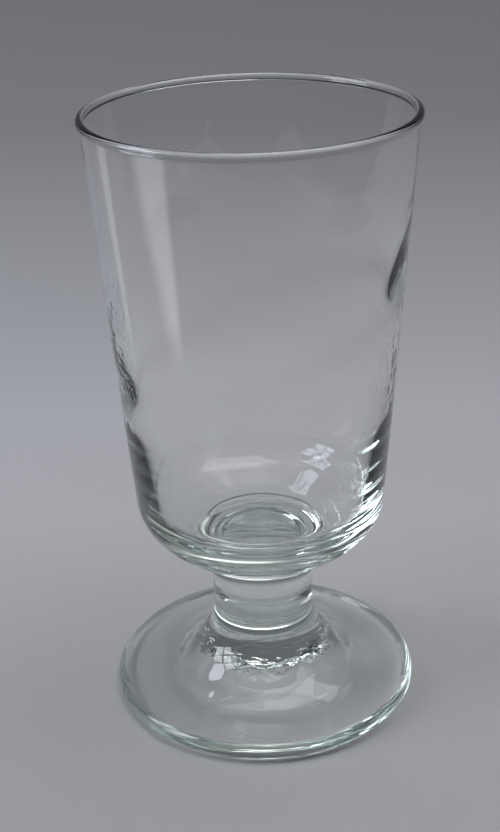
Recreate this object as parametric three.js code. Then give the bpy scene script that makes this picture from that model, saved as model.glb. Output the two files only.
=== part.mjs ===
// A footed tumbler in clear soda-lime glass: a blown bowl with a heavy base, a short solid stem
// and a pressed round foot, fused to each other at two flat seams.
// Millimetres, +Z up, origin at the middle of the ring that the foot stands on.
import * as THREE from "three";

// Height of the whole glass, and how it divides: foot, stem and, above them, the bowl
const overallHeight = 150;
const footSeamHeight = 24;
const stemLength = 9;
const bowlSeamHeight = footSeamHeight + stemLength;

// Rim: a fire-polished bead that stands proud of the outside of the wall
const beadProudOutside = 0.72;
const beadProudInside = 0.03;

// Bowl wall: thin, tapered, and bowed very slightly outwards half way down. Every inset is
// measured inwards from the outside of the mouth.
const mouthOuterRadius = 37.78;
const mouthWall = 1.1;
const kneeInset = 3.13;
const kneeDrop = 48.5; // down from the rim
const kneeWall = 1.08;
const outsideBowReach = 27; // along the wall, above and below the knee
const insideBowReach = 9;

// Underside of the bowl: a rounded heel and a cone that runs in to the neck
const heelInset = 7.57; // where the wall's outer line would meet the cone
const heelRise = 14.9; // above the bowl's seam
const heelRound = 12.6;

// Inside of the bowl below the wall: the glass thickens inwards down to a rounded corner and a
// dished floor
const floorThickness = 11.8; // above the bowl's seam
const thickeningInset = 6.23;
const thickeningShare = 0.6; // of the height from the floor up to the knee
const thickeningRound = 60;
const cornerInset = 12.58;
const cornerRise = 7.2; // above the lowest point of the floor
const cornerRound = 14;
const dishRadius = 9;
const dishRound = 30;

// Stem: a straight round neck that fillets out under the bowl
const neckRadius = 12.7;
const neckTopRise = 3.6; // above the bowl's seam, where the neck would meet the cone
const neckTopRound = 12;

// Foot: the neck flares out to a cone, and the cone to a disc with a rounded edge
const footRadius = 38.5;
const footEdgeHeight = 4.8; // top of the disc at its edge
const footEdgeRound = 2.3;
const footEdgeFoot = 1.15; // where the edge would meet the curve down to the standing ring
const footEdgeFootRound = 1.5;
const flareHeight = 15.7; // where the neck would meet the cone
const flareRound = 14;
const skirtInset = 13.5; // from the edge in to where the cone would meet the disc
const skirtHeight = 6;
const skirtRound = 18;

// Underside of the foot: a flat ring to stand on, round a hollow under the stem
const standInset = 2.9; // from the edge of the foot
const standWidth = 4.6;
const hollowLipRadius = 22;
const hollowLipDepth = 0.8;
const hollowLipRound = 6;
const hollowTopRadius = 12;
const hollowDepth = 7;
const hollowTopRound = 16;

// Facets
const turnSegments = 64; // round the axis
const arcStep = THREE.MathUtils.degToRad(12); // along a rounded corner

// Points of an outline whose corners are { r, z } with, for some, the round of a tangent arc or the
// reach that such an arc has along both sides. The other corners stay sharp.
function roundedOutline(corners) {
  return corners.flatMap(({ r, z, round, reach }, i) => {
    const corner = new THREE.Vector2(r, z);
    if (!round && !reach) return [corner];
    const toward = (other) => new THREE.Vector2(other.r, other.z).sub(corner).normalize();
    const before = toward(corners[i - 1]);
    const after = toward(corners[i + 1]);
    const halfAngle = Math.acos(before.dot(after)) / 2;
    const side = reach ?? round / Math.tan(halfAngle);
    const bisector = before.clone().add(after).normalize();
    const centre = corner.clone().addScaledVector(bisector, side / Math.cos(halfAngle));
    const start = corner.clone().addScaledVector(before, side).sub(centre);
    const end = corner.clone().addScaledVector(after, side).sub(centre);
    const sweep = Math.atan2(start.cross(end), start.dot(end));
    const steps = Math.max(2, Math.ceil(Math.abs(sweep) / arcStep));
    return Array.from({ length: steps + 1 }, (_, k) =>
      start.clone().rotateAround(new THREE.Vector2(), (sweep * k) / steps).add(centre));
  });
}

// A falling outline cut square in two at a height: what lies above and what lies below
function splitAt(outline, height) {
  const next = outline.findIndex((point) => point.y <= height);
  const [above, below] = [outline[next - 1], outline[next]];
  const cut = above.clone().lerp(below, (above.y - height) / (above.y - below.y));
  return [
    [...outline.slice(0, next), cut],
    [cut, ...outline.filter((point) => point.y < height)],
  ];
}

const kneeHeight = overallHeight - kneeDrop;
const kneeOuterRadius = mouthOuterRadius - kneeInset;
const standOuterRadius = footRadius - standInset;

// The bead is an arc that leaves one face of the wall and lands on the other.
function rimBead() {
  const outer = mouthOuterRadius + beadProudOutside;
  const inner = mouthOuterRadius - mouthWall - beadProudInside;
  const beadRadius = (outer - inner) / 2;
  const centre = new THREE.Vector2((outer + inner) / 2, overallHeight - beadRadius);
  const insideEnd = Math.PI + Math.acos((centre.x - mouthOuterRadius + mouthWall) / beadRadius);
  const outsideEnd = -Math.acos((mouthOuterRadius - centre.x) / beadRadius);
  const steps = Math.ceil((insideEnd - outsideEnd) / (2 * arcStep));
  return Array.from({ length: steps + 1 }, (_, k) => {
    const angle = insideEnd + ((outsideEnd - insideEnd) * k) / steps;
    return new THREE.Vector2(Math.cos(angle), Math.sin(angle)).multiplyScalar(beadRadius).add(centre);
  });
}

// Outside of the whole glass below the bead, from the mouth down to the edge of the standing ring
function outsideOutline(bead) {
  const mouth = bead[bead.length - 1];
  return [
    mouth,
    ...roundedOutline([
      { r: mouth.x, z: mouth.y },
      { r: kneeOuterRadius, z: kneeHeight, reach: outsideBowReach },
      { r: mouthOuterRadius - heelInset, z: bowlSeamHeight + heelRise, round: heelRound },
      { r: neckRadius, z: bowlSeamHeight + neckTopRise, round: neckTopRound },
      { r: neckRadius, z: flareHeight, round: flareRound },
      { r: footRadius - skirtInset, z: skirtHeight, round: skirtRound },
      { r: footRadius, z: footEdgeHeight, round: footEdgeRound },
      { r: footRadius, z: footEdgeFoot, round: footEdgeFootRound },
      { r: standOuterRadius, z: 0 },
    ]).slice(1),
  ];
}

// Inside of the bowl, from the axis up to the bead
function insideOutline(bead) {
  const floorHeight = bowlSeamHeight + floorThickness;
  const thickeningHeight = THREE.MathUtils.lerp(floorHeight, kneeHeight, thickeningShare);
  return roundedOutline([
    { r: 0, z: floorHeight },
    { r: dishRadius, z: floorHeight, round: dishRound },
    { r: mouthOuterRadius - cornerInset, z: floorHeight + cornerRise, round: cornerRound },
    { r: mouthOuterRadius - thickeningInset, z: thickeningHeight, round: thickeningRound },
    { r: kneeOuterRadius - kneeWall, z: kneeHeight, reach: insideBowReach },
    { r: bead[0].x, z: bead[0].y },
  ]).slice(0, -1);
}

// Clear glass with the faint green of its iron
function glassPart(name, outline) {
  const material = new THREE.MeshStandardMaterial({
    color: "#e1eae6", roughness: 0.02, metalness: 0, transparent: true, opacity: 0.35,
  });
  const part = new THREE.Mesh(new THREE.LatheGeometry(outline.reverse(), turnSegments), material);
  // The outline turns about Y; a quarter turn stands it up on Z.
  part.rotation.x = Math.PI / 2;
  part.name = name;
  return part;
}

const onAxis = (z) => new THREE.Vector2(0, z);
const bead = rimBead();
const [bowlSide, belowBowl] = splitAt(outsideOutline(bead), bowlSeamHeight);
const [stemSide, footSide] = splitAt(belowBowl, footSeamHeight);

// From the inner edge of the standing ring over the lip and up into the hollow
const underside = roundedOutline([
  { r: standOuterRadius - standWidth, z: 0 },
  { r: hollowLipRadius, z: hollowLipDepth, round: hollowLipRound },
  { r: hollowTopRadius, z: hollowDepth, round: hollowTopRound },
  { r: 0, z: hollowDepth },
]);

const bowl = glassPart("bowl",
  [...insideOutline(bead), ...bead, ...bowlSide.slice(1), onAxis(bowlSeamHeight)]);
const stem = glassPart("stem", [onAxis(bowlSeamHeight), ...stemSide, onAxis(footSeamHeight)]);
const foot = glassPart("foot", [onAxis(footSeamHeight), ...footSide, ...underside]);

const drinkingGlass = new THREE.Group();
drinkingGlass.add(bowl, stem, foot);

export default drinkingGlass;
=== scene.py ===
import math

import bmesh
import bpy
from mathutils import Matrix, Vector


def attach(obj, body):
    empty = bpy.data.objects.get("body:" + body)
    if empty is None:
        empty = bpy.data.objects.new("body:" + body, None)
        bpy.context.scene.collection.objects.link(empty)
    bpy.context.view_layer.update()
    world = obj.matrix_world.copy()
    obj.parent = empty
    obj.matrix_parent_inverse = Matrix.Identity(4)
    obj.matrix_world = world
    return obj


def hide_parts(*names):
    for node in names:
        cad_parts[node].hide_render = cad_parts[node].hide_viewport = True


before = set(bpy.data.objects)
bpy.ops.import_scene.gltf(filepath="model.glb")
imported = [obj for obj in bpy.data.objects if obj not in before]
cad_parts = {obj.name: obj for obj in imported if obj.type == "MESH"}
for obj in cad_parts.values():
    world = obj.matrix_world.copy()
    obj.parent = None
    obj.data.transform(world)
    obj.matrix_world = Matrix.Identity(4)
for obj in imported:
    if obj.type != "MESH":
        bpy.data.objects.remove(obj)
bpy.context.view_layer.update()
mm = 0.001


def hexColour(code):
    # sRGB hex as painted, to the linear values that the sockets hold
    parts = [int(code[i:i + 2], 16) / 255 for i in (1, 3, 5)]
    return [c / 12.92 if c <= 0.04045 else ((c + 0.055) / 1.055) ** 2.4 for c in parts] + [1.0]


# camera: solved from the rim, the foot and the two sides of the wall in the photograph
view = {
    "distance": 313.7,   # mm, from the glass's axis
    "height": 223.5,     # mm, above the table
    "pitch": 25.35,      # degrees down
    "pan": -0.36,
    "roll": -1.78,
    "focalPixels": 1427.0,
    "frameLong": 832.0,  # pixels along the long side of the frame
    "sensor": 36.0,      # mm along that side
    "clipStart": 10.0,
}


def makeCamera():
    data = bpy.data.cameras.new("camera")
    data.sensor_width = view["sensor"]
    data.lens = view["focalPixels"] * view["sensor"] / view["frameLong"]
    data.clip_start = view["clipStart"] * mm
    camera = bpy.data.objects.new("camera", data)
    pitch, pan, roll = (math.radians(view[k]) for k in ("pitch", "pan", "roll"))
    forward = Vector((math.sin(pan) * math.cos(pitch), math.cos(pan) * math.cos(pitch), -math.sin(pitch)))
    right = forward.cross(Vector((0, 0, 1))).normalized()
    up = right.cross(forward)
    turn = Matrix((right, up, -forward)).transposed().to_4x4()
    place = Matrix.Translation((0, -view["distance"] * mm, view["height"] * mm))
    camera.matrix_world = place @ turn @ Matrix.Rotation(roll, 4, "Z")
    bpy.context.scene.collection.objects.link(camera)
    bpy.context.scene.camera = camera


makeCamera()
print("camera set")


def addNode(tree, kind, links=None, **settings):
    # one node: plain settings go to its properties, or to the inputs of that name
    node = tree.nodes.new(kind)
    for name, value in settings.items():
        socket = name.replace("_", " ")
        if socket in node.inputs:
            node.inputs[socket].default_value = value
        else:
            setattr(node, name, value)
    for name, output in (links or {}).items():
        tree.links.new(output, node.inputs[name])
    return node


def mathNode(tree, operation, *values):
    # each value is another node's output or a plain number
    node = addNode(tree, "ShaderNodeMath", operation=operation)
    for socket, value in zip(node.inputs, values):
        if isinstance(value, (int, float)):
            socket.default_value = value
        else:
            tree.links.new(value, socket)
    return node.outputs["Value"]


def fade(tree, value, none, full, most=1.0, curve="SMOOTHSTEP"):
    # 0 where the value is at none, rising to most where it is at full
    node = addNode(tree, "ShaderNodeMapRange", {"Value": value}, interpolation_type=curve,
                   From_Min=none, From_Max=full, To_Max=most)
    return node.outputs["Result"]


def newMaterial(name):
    material = bpy.data.materials.new(name)
    material.use_nodes = True
    material.node_tree.nodes.clear()
    return material, material.node_tree


# soda-lime glass: iron in the sand leaves a faint green that only shows along a long path
glass = {
    "ior": 1.52,
    "surface": "#ffffff",
    "tint": "#cfe6dc",
    "density": 10.0,         # 1/m
    "waveSize": 16.0,        # mm, between slow swells
    "waveHeight": 0.05,
    "waveScale": (1, 1, 2),  # half as tall as they are wide
    "waveDetail": 1.0,
}
# fine dimples, guessed for the hollow under the stem; they end above a height and outside a radius
dimples = {"size": 3.0, "height": 0.45, "detail": 1.5,
           "endHeight": 9.0, "fullHeight": 6.0, "endRadius": 17.0, "fullRadius": 11.0}
# the same noise wrinkles the two ends of the settle ridge, between two heights
wrinkles = {"strength": 0.4, "endSide": 28.5, "fullSide": 32.5,
            "endLow": 66.0, "fullLow": 80.0, "fullHigh": 104.0, "endHigh": 118.0}


def fineStrength(tree, place):
    # how strongly the fine noise shows, over the hollow and over the ends of the ridge
    d, w = dimples, wrinkles
    split = addNode(tree, "ShaderNodeSeparateXYZ", {"Vector": place})
    flat = addNode(tree, "ShaderNodeVectorMath", {"Vector": place}, operation="MULTIPLY")
    flat.inputs[1].default_value = (1, 1, 0)
    radius = addNode(tree, "ShaderNodeVectorMath", {"Vector": flat.outputs["Vector"]}, operation="LENGTH")
    low = fade(tree, split.outputs["Z"], d["endHeight"] * mm, d["fullHeight"] * mm)
    near = fade(tree, radius.outputs["Value"], d["endRadius"] * mm, d["fullRadius"] * mm)
    side = mathNode(tree, "ABSOLUTE", split.outputs["X"])
    flank = fade(tree, side, w["endSide"] * mm, w["fullSide"] * mm, w["strength"])
    above = fade(tree, split.outputs["Z"], w["endLow"] * mm, w["fullLow"] * mm)
    below = fade(tree, split.outputs["Z"], w["endHigh"] * mm, w["fullHigh"] * mm)
    ends = mathNode(tree, "MULTIPLY", mathNode(tree, "MULTIPLY", above, below), flank)
    return mathNode(tree, "ADD", ends, mathNode(tree, "MULTIPLY", low, near))


def sodaLimeGlass(name):
    # clear and sharp, with slow swells under the polish
    material, tree = newMaterial(name)
    place = addNode(tree, "ShaderNodeTexCoord").outputs["Object"]
    stretched = addNode(tree, "ShaderNodeMapping", {"Vector": place}, Scale=glass["waveScale"])
    waves = addNode(tree, "ShaderNodeTexNoise", {"Vector": stretched.outputs["Vector"]},
                    Scale=1 / (glass["waveSize"] * mm), Detail=glass["waveDetail"])
    swell = addNode(tree, "ShaderNodeBump", {"Height": waves.outputs["Fac"]},
                    Strength=1.0, Distance=glass["waveHeight"] * mm)
    fine = addNode(tree, "ShaderNodeTexNoise", {"Vector": place},
                   Scale=1 / (dimples["size"] * mm), Detail=dimples["detail"])
    bump = addNode(tree, "ShaderNodeBump",
                   {"Height": fine.outputs["Fac"], "Strength": fineStrength(tree, place),
                    "Normal": swell.outputs["Normal"]}, Distance=dimples["height"] * mm)
    surface = addNode(tree, "ShaderNodeBsdfPrincipled", {"Normal": bump.outputs["Normal"]},
                      Base_Color=hexColour(glass["surface"]), Roughness=0.0,
                      IOR=glass["ior"], Transmission_Weight=1.0)
    inside = addNode(tree, "ShaderNodeVolumeAbsorption",
                     Color=hexColour(glass["tint"]), Density=glass["density"])
    addNode(tree, "ShaderNodeOutputMaterial",
            {"Surface": surface.outputs["BSDF"], "Volume": inside.outputs["Volume"]})
    return material


fusedGlass = sodaLimeGlass("blown and fire-polished soda-lime glass")
print("material made")

# turning: how finely the outlines are cut and turned
turning = {
    "turnSteps": 160,
    "arcStep": 4.0,      # degrees
    "longestEdge": 1.5,  # mm
    "weld": 0.001,       # mm, where the inside meets the outside on the bead
}


def layOutline(bm, corners):
    # corners are (radius, height, round) in mm; a corner with a round is bevelled to a tangent arc
    verts = [bm.verts.new((r * mm, 0, z * mm)) for r, z, _ in corners]
    for a, b in zip(verts, verts[1:]):
        bm.edges.new((a, b))
    for i, (r, z, roundRadius) in enumerate(corners):
        if not roundRadius:
            continue
        here = Vector((r, z))
        before = (Vector(corners[i - 1][:2]) - here).normalized()
        after = (Vector(corners[i + 1][:2]) - here).normalized()
        half = before.angle(after) / 2
        turnAngle = math.pi - 2 * half
        segments = max(2, math.ceil(math.degrees(turnAngle) / turning["arcStep"]))
        bmesh.ops.bevel(bm, geom=[verts[i]], offset=roundRadius * mm / math.tan(half), offset_type="OFFSET",
                        segments=segments, profile=0.5, affect="VERTICES", material=-1)
    for edge in [e for e in bm.edges if e.calc_length() > turning["longestEdge"] * mm]:
        cuts = int(edge.calc_length() / (turning["longestEdge"] * mm))
        bmesh.ops.subdivide_edges(bm, edges=[edge], cuts=cuts)


def turnSurface(corners):
    # turns one outline a full circle about the axis
    bm = bmesh.new()
    layOutline(bm, corners)
    bmesh.ops.spin(bm, geom=bm.verts[:] + bm.edges[:], cent=(0, 0, 0), axis=(0, 0, 1), angle=math.tau,
                   steps=turning["turnSteps"], use_merge=True)
    return bm


# sizes in mm: the outline of the CAD, but with the inside corner further out and lower, which looked
# closer to the photograph, and with a soft outer edge on the standing ring
bowl = {
    "height": 150.0, "beadOuter": 38.5, "beadInner": 36.65, "mouthOuter": 37.78, "mouthInner": 36.68,
    # steps from the wall to the bead, by their drop below the rim
    "innerWallDrop": 1.6, "innerBeadDrop": 1.2, "innerStepRound": 0.3,
    "outerWallDrop": 1.9, "outerBeadDrop": 1.4, "outerStepRound": 0.4,
    "beadShare": 0.995,  # of the full round, so that each bevel stops just short of the bead's top
    "kneeRadius": 34.65, "kneeHeight": 101.5, "wallBow": 3500.0, "wall": 1.08,
    "heelRadius": 30.21, "heelHeight": 47.9, "heelRound": 12.6,
    "taperStartRadius": 31.55, "taperStart": 78.8, "taperRound": 60.0, "insideBow": 750.0,
    "cornerRadius": 26.8, "cornerHeight": 50.4, "cornerRound": 11.5,
    "dishRadius": 9.0, "dishRound": 30.0, "floorHeight": 44.8,
}
# the settle ridge: low and tilted, round the inside of the wall, and deepest at its two ends
wave = {"height": 98.5, "tilt": 13.5, "above": 8.0, "below": 5.0,
        "depth": 0.3, "depthSide": 1.0, "sidePower": 8}
stem = {"neckRadius": 12.7, "neckHeight": 36.6, "neckRound": 12.0}
foot = {
    "flareHeight": 15.7, "flareRound": 14.0, "skirtRadius": 25.0, "skirtHeight": 6.0, "skirtRound": 18.0,
    "radius": 38.5, "edgeHeight": 4.8, "edgeRound": 2.3, "edgeFoot": 1.15, "edgeFootRound": 1.5,
    "standOuter": 35.6, "standRound": 0.6, "standInner": 31.0,
    "hollowRadius": 22.0, "hollowStep": 0.8, "hollowRound": 6.0, "hollowTopRadius": 12.0,
    "hollowDepth": 7.0, "hollowTop": 16.0,
}
beadRound = (bowl["beadOuter"] - bowl["beadInner"]) / 2
beadTop = (bowl["beadInner"] + beadRound, bowl["height"], 0)


def insideCorners():
    # from the middle of the floor up the wall to the top of the bead
    b = bowl
    top = b["height"]
    return [
        (0, b["floorHeight"], 0),
        (b["dishRadius"], b["floorHeight"], b["dishRound"]),
        (b["cornerRadius"], b["cornerHeight"], b["cornerRound"]),
        (b["taperStartRadius"], b["taperStart"], b["taperRound"]),
        (b["kneeRadius"] - b["wall"], b["kneeHeight"], b["insideBow"]),
        (b["mouthInner"], top - b["innerWallDrop"], b["innerStepRound"]),
        (b["beadInner"], top - b["innerBeadDrop"], b["innerStepRound"]),
        (b["beadInner"], top, beadRound * b["beadShare"]),
        beadTop,
    ]


def outsideCorners():
    # from the top of the bead down to the foot and up into its hollow
    b, s, f = bowl, stem, foot
    top = b["height"]
    return [
        beadTop,
        (b["beadOuter"], top, beadRound * b["beadShare"]),
        (b["beadOuter"], top - b["outerBeadDrop"], b["outerStepRound"]),
        (b["mouthOuter"], top - b["outerWallDrop"], b["outerStepRound"]),
        (b["kneeRadius"], b["kneeHeight"], b["wallBow"]),
        (b["heelRadius"], b["heelHeight"], b["heelRound"]),
        (s["neckRadius"], s["neckHeight"], s["neckRound"]),
        (s["neckRadius"], f["flareHeight"], f["flareRound"]),
        (f["skirtRadius"], f["skirtHeight"], f["skirtRound"]),
        (f["radius"], f["edgeHeight"], f["edgeRound"]),
        (f["radius"], f["edgeFoot"], f["edgeFootRound"]),
        (f["standOuter"], 0, f["standRound"]),
        (f["standInner"], 0, 0),
        (f["hollowRadius"], f["hollowStep"], f["hollowRound"]),
        (f["hollowTopRadius"], f["hollowDepth"], f["hollowTop"]),
        (0, f["hollowDepth"], 0),
    ]


def settle(bm):
    # draws the inside of the wall inwards along the ridge
    for v in bm.verts:
        x, y, z = v.co / mm
        radius = math.hypot(x, y)
        if radius < bowl["cornerRadius"]:
            continue
        toSide = x / radius
        rise = z - wave["height"] - wave["tilt"] * toSide
        spread = wave["above"] if rise > 0 else wave["below"]
        atSide = wave["depth"] + wave["depthSide"] * toSide ** wave["sidePower"]
        depth = atSide * math.exp(-(rise / spread) ** 2)
        v.co.x *= 1 - depth / radius
        v.co.y *= 1 - depth / radius


def makeGlass():
    # the pieces of the real glass are melted together, so one skin stands for all three solids
    bm = turnSurface(insideCorners())
    settle(bm)
    outside = turnSurface(outsideCorners())
    mesh = bpy.data.meshes.new("fused_glass")
    outside.to_mesh(mesh)
    outside.free()
    bm.from_mesh(mesh)
    bmesh.ops.remove_doubles(bm, verts=bm.verts, dist=turning["weld"] * mm)
    bmesh.ops.recalc_face_normals(bm, faces=bm.faces)
    for face in bm.faces:
        face.smooth = True
    bm.to_mesh(mesh)
    bm.free()
    piece = bpy.data.objects.new("fused_glass", mesh)
    bpy.context.scene.collection.objects.link(piece)
    mesh.materials.append(fusedGlass)
    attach(piece, "root")
    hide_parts("bowl", "stem", "foot")


makeGlass()
print("glass turned")

# stage: a pale sheet that lies flat under the glass and sweeps up behind it, in mm. Its greys go by
# y plus z along the sheet and are painted light: lightest a little behind the glass, a painted pool of
# light, and darkest where it stands up, painted shade.
stage = {
    "level": -0.1, "width": 1300.0, "front": -1000.0, "bend": 650.0, "bendRound": 450.0, "top": 1200.0,
    "bendSegments": 24, "roughness": 0.9, "gloss": 0.1,
    # painted light and shade in the paper's colour, not a tone of the paper itself
    "shades": ((0, "#aaaaac"), (82, "#b5b5b8"), (163, "#b4b5b9"), (270, "#a5a6aa"), (371, "#96979a"),
               (455, "#868689"), (570, "#7f7f82")),
}


# paper colour with painted light falloff: the greys darken up the sheet as painted shade
def paperWithPaintedFalloff(name):
    material, tree = newMaterial(name)
    place = addNode(tree, "ShaderNodeTexCoord")
    split = addNode(tree, "ShaderNodeSeparateXYZ", {"Vector": place.outputs["Object"]})
    along = mathNode(tree, "ADD", split.outputs["Z"], split.outputs["Y"])
    (first, firstShade), *between, (last, lastShade) = stage["shades"]
    span = addNode(tree, "ShaderNodeMapRange", {"Value": along}, From_Min=first * mm, From_Max=last * mm)
    shade = addNode(tree, "ShaderNodeValToRGB", {"Fac": span.outputs["Result"]})
    ramp = shade.color_ramp.elements
    ramp[0].color = hexColour(firstShade)
    ramp[1].color = hexColour(lastShade)
    for at, code in between:
        ramp.new((at - first) / (last - first)).color = hexColour(code)
    surface = addNode(tree, "ShaderNodeBsdfPrincipled", {"Base Color": shade.outputs["Color"]},
                      Roughness=stage["roughness"], Specular_IOR_Level=stage["gloss"])
    addNode(tree, "ShaderNodeOutputMaterial", {"Surface": surface.outputs["BSDF"]})
    return material


def makeStage():
    bm = bmesh.new()
    s = stage
    halfWidth = s["width"] / 2 * mm
    verts = [bm.verts.new((-halfWidth, y * mm, z * mm)) for y, z in
             ((s["front"], s["level"]), (s["bend"], s["level"]), (s["bend"], s["top"]))]
    for a, b in zip(verts, verts[1:]):
        bm.edges.new((a, b))
    bmesh.ops.bevel(bm, geom=[verts[1]], offset=s["bendRound"] * mm, offset_type="OFFSET",
                    segments=s["bendSegments"], profile=0.5, affect="VERTICES", material=-1)
    made = bmesh.ops.extrude_edge_only(bm, edges=bm.edges[:])
    bmesh.ops.translate(bm, verts=[v for v in made["geom"] if isinstance(v, bmesh.types.BMVert)],
                        vec=(2 * halfWidth, 0, 0))
    bmesh.ops.recalc_face_normals(bm, faces=bm.faces)
    for face in bm.faces:
        face.smooth = True
    mesh = bpy.data.meshes.new("sweep")
    bm.to_mesh(mesh)
    bm.free()
    sweep = bpy.data.objects.new("sweep", mesh)
    bpy.context.scene.collection.objects.link(sweep)
    mesh.materials.append(paperWithPaintedFalloff("matt paper sweep with painted falloff"))


# lights: a tall window of panes at the left, and a small and a broad panel high over the glass
aimPoint = (0, 0, 70)
lamps = {
    "window": {"at": (-950, -170, 620), "size": (560, 760), "panes": (2, 3), "bar": 50, "power": 7.3,
               "colour": "#f0f3ff"},
    "overhead": {"at": (350, 100, 1400), "size": (1100, 1100), "power": 7.8},
    "ceiling": {"at": (350, 100, 1500), "size": (2600, 2600), "power": 10.2},
}
room = {"colour": "#8b8c91", "strength": 0.2}


def aimed(at):
    turn = (Vector(aimPoint) - Vector(at)).to_track_quat("-Z", "Y").to_matrix().to_4x4()
    return Matrix.Translation([c * mm for c in at]) @ turn


def addPanel(name, place, size, power, colour="#ffffff"):
    data = bpy.data.lights.new(name, "AREA")
    data.color = hexColour(colour)[:3]
    data.shape = "RECTANGLE"
    data.size, data.size_y = (side * mm for side in size)
    data.energy = power
    lamp = bpy.data.objects.new(name, data)
    lamp.matrix_world = place
    bpy.context.scene.collection.objects.link(lamp)


def makeWindow():
    w = lamps["window"]
    across, down = w["panes"]
    paneWidth = (w["size"][0] - w["bar"] * (across - 1)) / across
    paneHeight = (w["size"][1] - w["bar"] * (down - 1)) / down
    for i in range(across):
        for k in range(down):
            x = (i - (across - 1) / 2) * (paneWidth + w["bar"])
            y = (k - (down - 1) / 2) * (paneHeight + w["bar"])
            place = aimed(w["at"]) @ Matrix.Translation((x * mm, y * mm, 0))
            addPanel(f"window pane {i} {k}", place, (paneWidth, paneHeight),
                     w["power"] / (across * down), w["colour"])


def makeLights():
    makeWindow()
    for name in ("overhead", "ceiling"):
        lamp = lamps[name]
        addPanel(name, aimed(lamp["at"]), lamp["size"], lamp["power"])
    world = bpy.data.worlds.new("room")
    world.use_nodes = True
    world.node_tree.nodes.clear()
    sky = addNode(world.node_tree, "ShaderNodeBackground", Color=hexColour(room["colour"]),
                  Strength=room["strength"])
    addNode(world.node_tree, "ShaderNodeOutputWorld", {"Surface": sky.outputs["Background"]})
    bpy.context.scene.world = world


# screens: two lit cloths close to the glass that only reflections see, for the broad streak at its left.
# A fade says where the cloth is dark and where it is bright, as shares of its width or height, and
# slantFade counts its width plus slant times its height.
screens = {
    "azimuths": (-66, -105),  # degrees from the camera's side of the glass
    "widths": (76, 34), "glows": (2.6, 0.9), "reach": 120.0, "heights": (36, 128), "colour": "#f4f6fa",
    "slant": 0.6, "slantFade": (0.6, 1.05), "sideFade": (1.0, 0.82), "hemFade": (0.0, 0.35),
    "topFade": (1.0, 0.8),
}


def glowingCloth(name, glow):
    # soft at its edges, and drawn in to one side towards the hem
    c = screens
    material, tree = newMaterial(name)
    place = addNode(tree, "ShaderNodeTexCoord")
    split = addNode(tree, "ShaderNodeSeparateXYZ", {"Vector": place.outputs["UV"]})
    across, up = split.outputs["X"], split.outputs["Y"]
    slanted = mathNode(tree, "MULTIPLY_ADD", up, c["slant"], across)
    level = fade(tree, slanted, *c["slantFade"], curve="SMOOTHERSTEP")
    for value, edge in ((across, "sideFade"), (up, "hemFade"), (up, "topFade")):
        level = mathNode(tree, "MULTIPLY", level, fade(tree, value, *c[edge], curve="SMOOTHERSTEP"))
    light = addNode(tree, "ShaderNodeEmission", {"Strength": mathNode(tree, "MULTIPLY", level, glow)},
                    Color=hexColour(c["colour"]))
    clear = addNode(tree, "ShaderNodeBsdfTransparent")
    cloth = addNode(tree, "ShaderNodeAddShader")
    tree.links.new(light.outputs["Emission"], cloth.inputs[0])
    tree.links.new(clear.outputs["BSDF"], cloth.inputs[1])
    addNode(tree, "ShaderNodeOutputMaterial", {"Surface": cloth.outputs["Shader"]})
    return material


def makeScreens():
    d = screens
    low, high = d["heights"]
    for azimuth, width, glow in zip(d["azimuths"], d["widths"], d["glows"]):
        turn = math.radians(azimuth)
        middle = Vector((d["reach"] * math.sin(turn), -d["reach"] * math.cos(turn), (low + high) / 2)) * mm
        upright = Matrix.Rotation(turn, 4, "Z") @ Matrix.Rotation(math.pi / 2, 4, "X")
        halfSize = Matrix.Diagonal((width / 2 * mm, (high - low) / 2 * mm, 1, 1))
        place = Matrix.Translation(middle) @ upright @ halfSize
        bm = bmesh.new()
        bmesh.ops.create_grid(bm, x_segments=1, y_segments=1, size=1, matrix=place, calc_uvs=True)
        uvs = bm.loops.layers.uv.verify()
        inverse = place.inverted()
        for face in bm.faces:
            for loop in face.loops:
                local = inverse @ loop.vert.co
                loop[uvs].uv = (local.x / 2 + 0.5, local.y / 2 + 0.5)
        mesh = bpy.data.meshes.new(f"screen {azimuth}")
        bm.to_mesh(mesh)
        bm.free()
        mesh.materials.append(glowingCloth(f"lit cloth {azimuth}", glow))
        screen = bpy.data.objects.new(f"screen {azimuth}", mesh)
        bpy.context.scene.collection.objects.link(screen)
        screen.visible_camera = screen.visible_diffuse = screen.visible_shadow = False
        screen.visible_transmission = False


makeStage()
makeLights()
makeScreens()
print("stage and lights set")

scene = bpy.context.scene
scene.view_settings.view_transform = "Standard"
scene.cycles.blur_glossy = 0.0
scene.cycles.max_bounces = 32
scene.cycles.transmission_bounces = 32
scene.cycles.glossy_bounces = 16
scene.cycles.transparent_max_bounces = 32

bpy.context.view_layer.update()
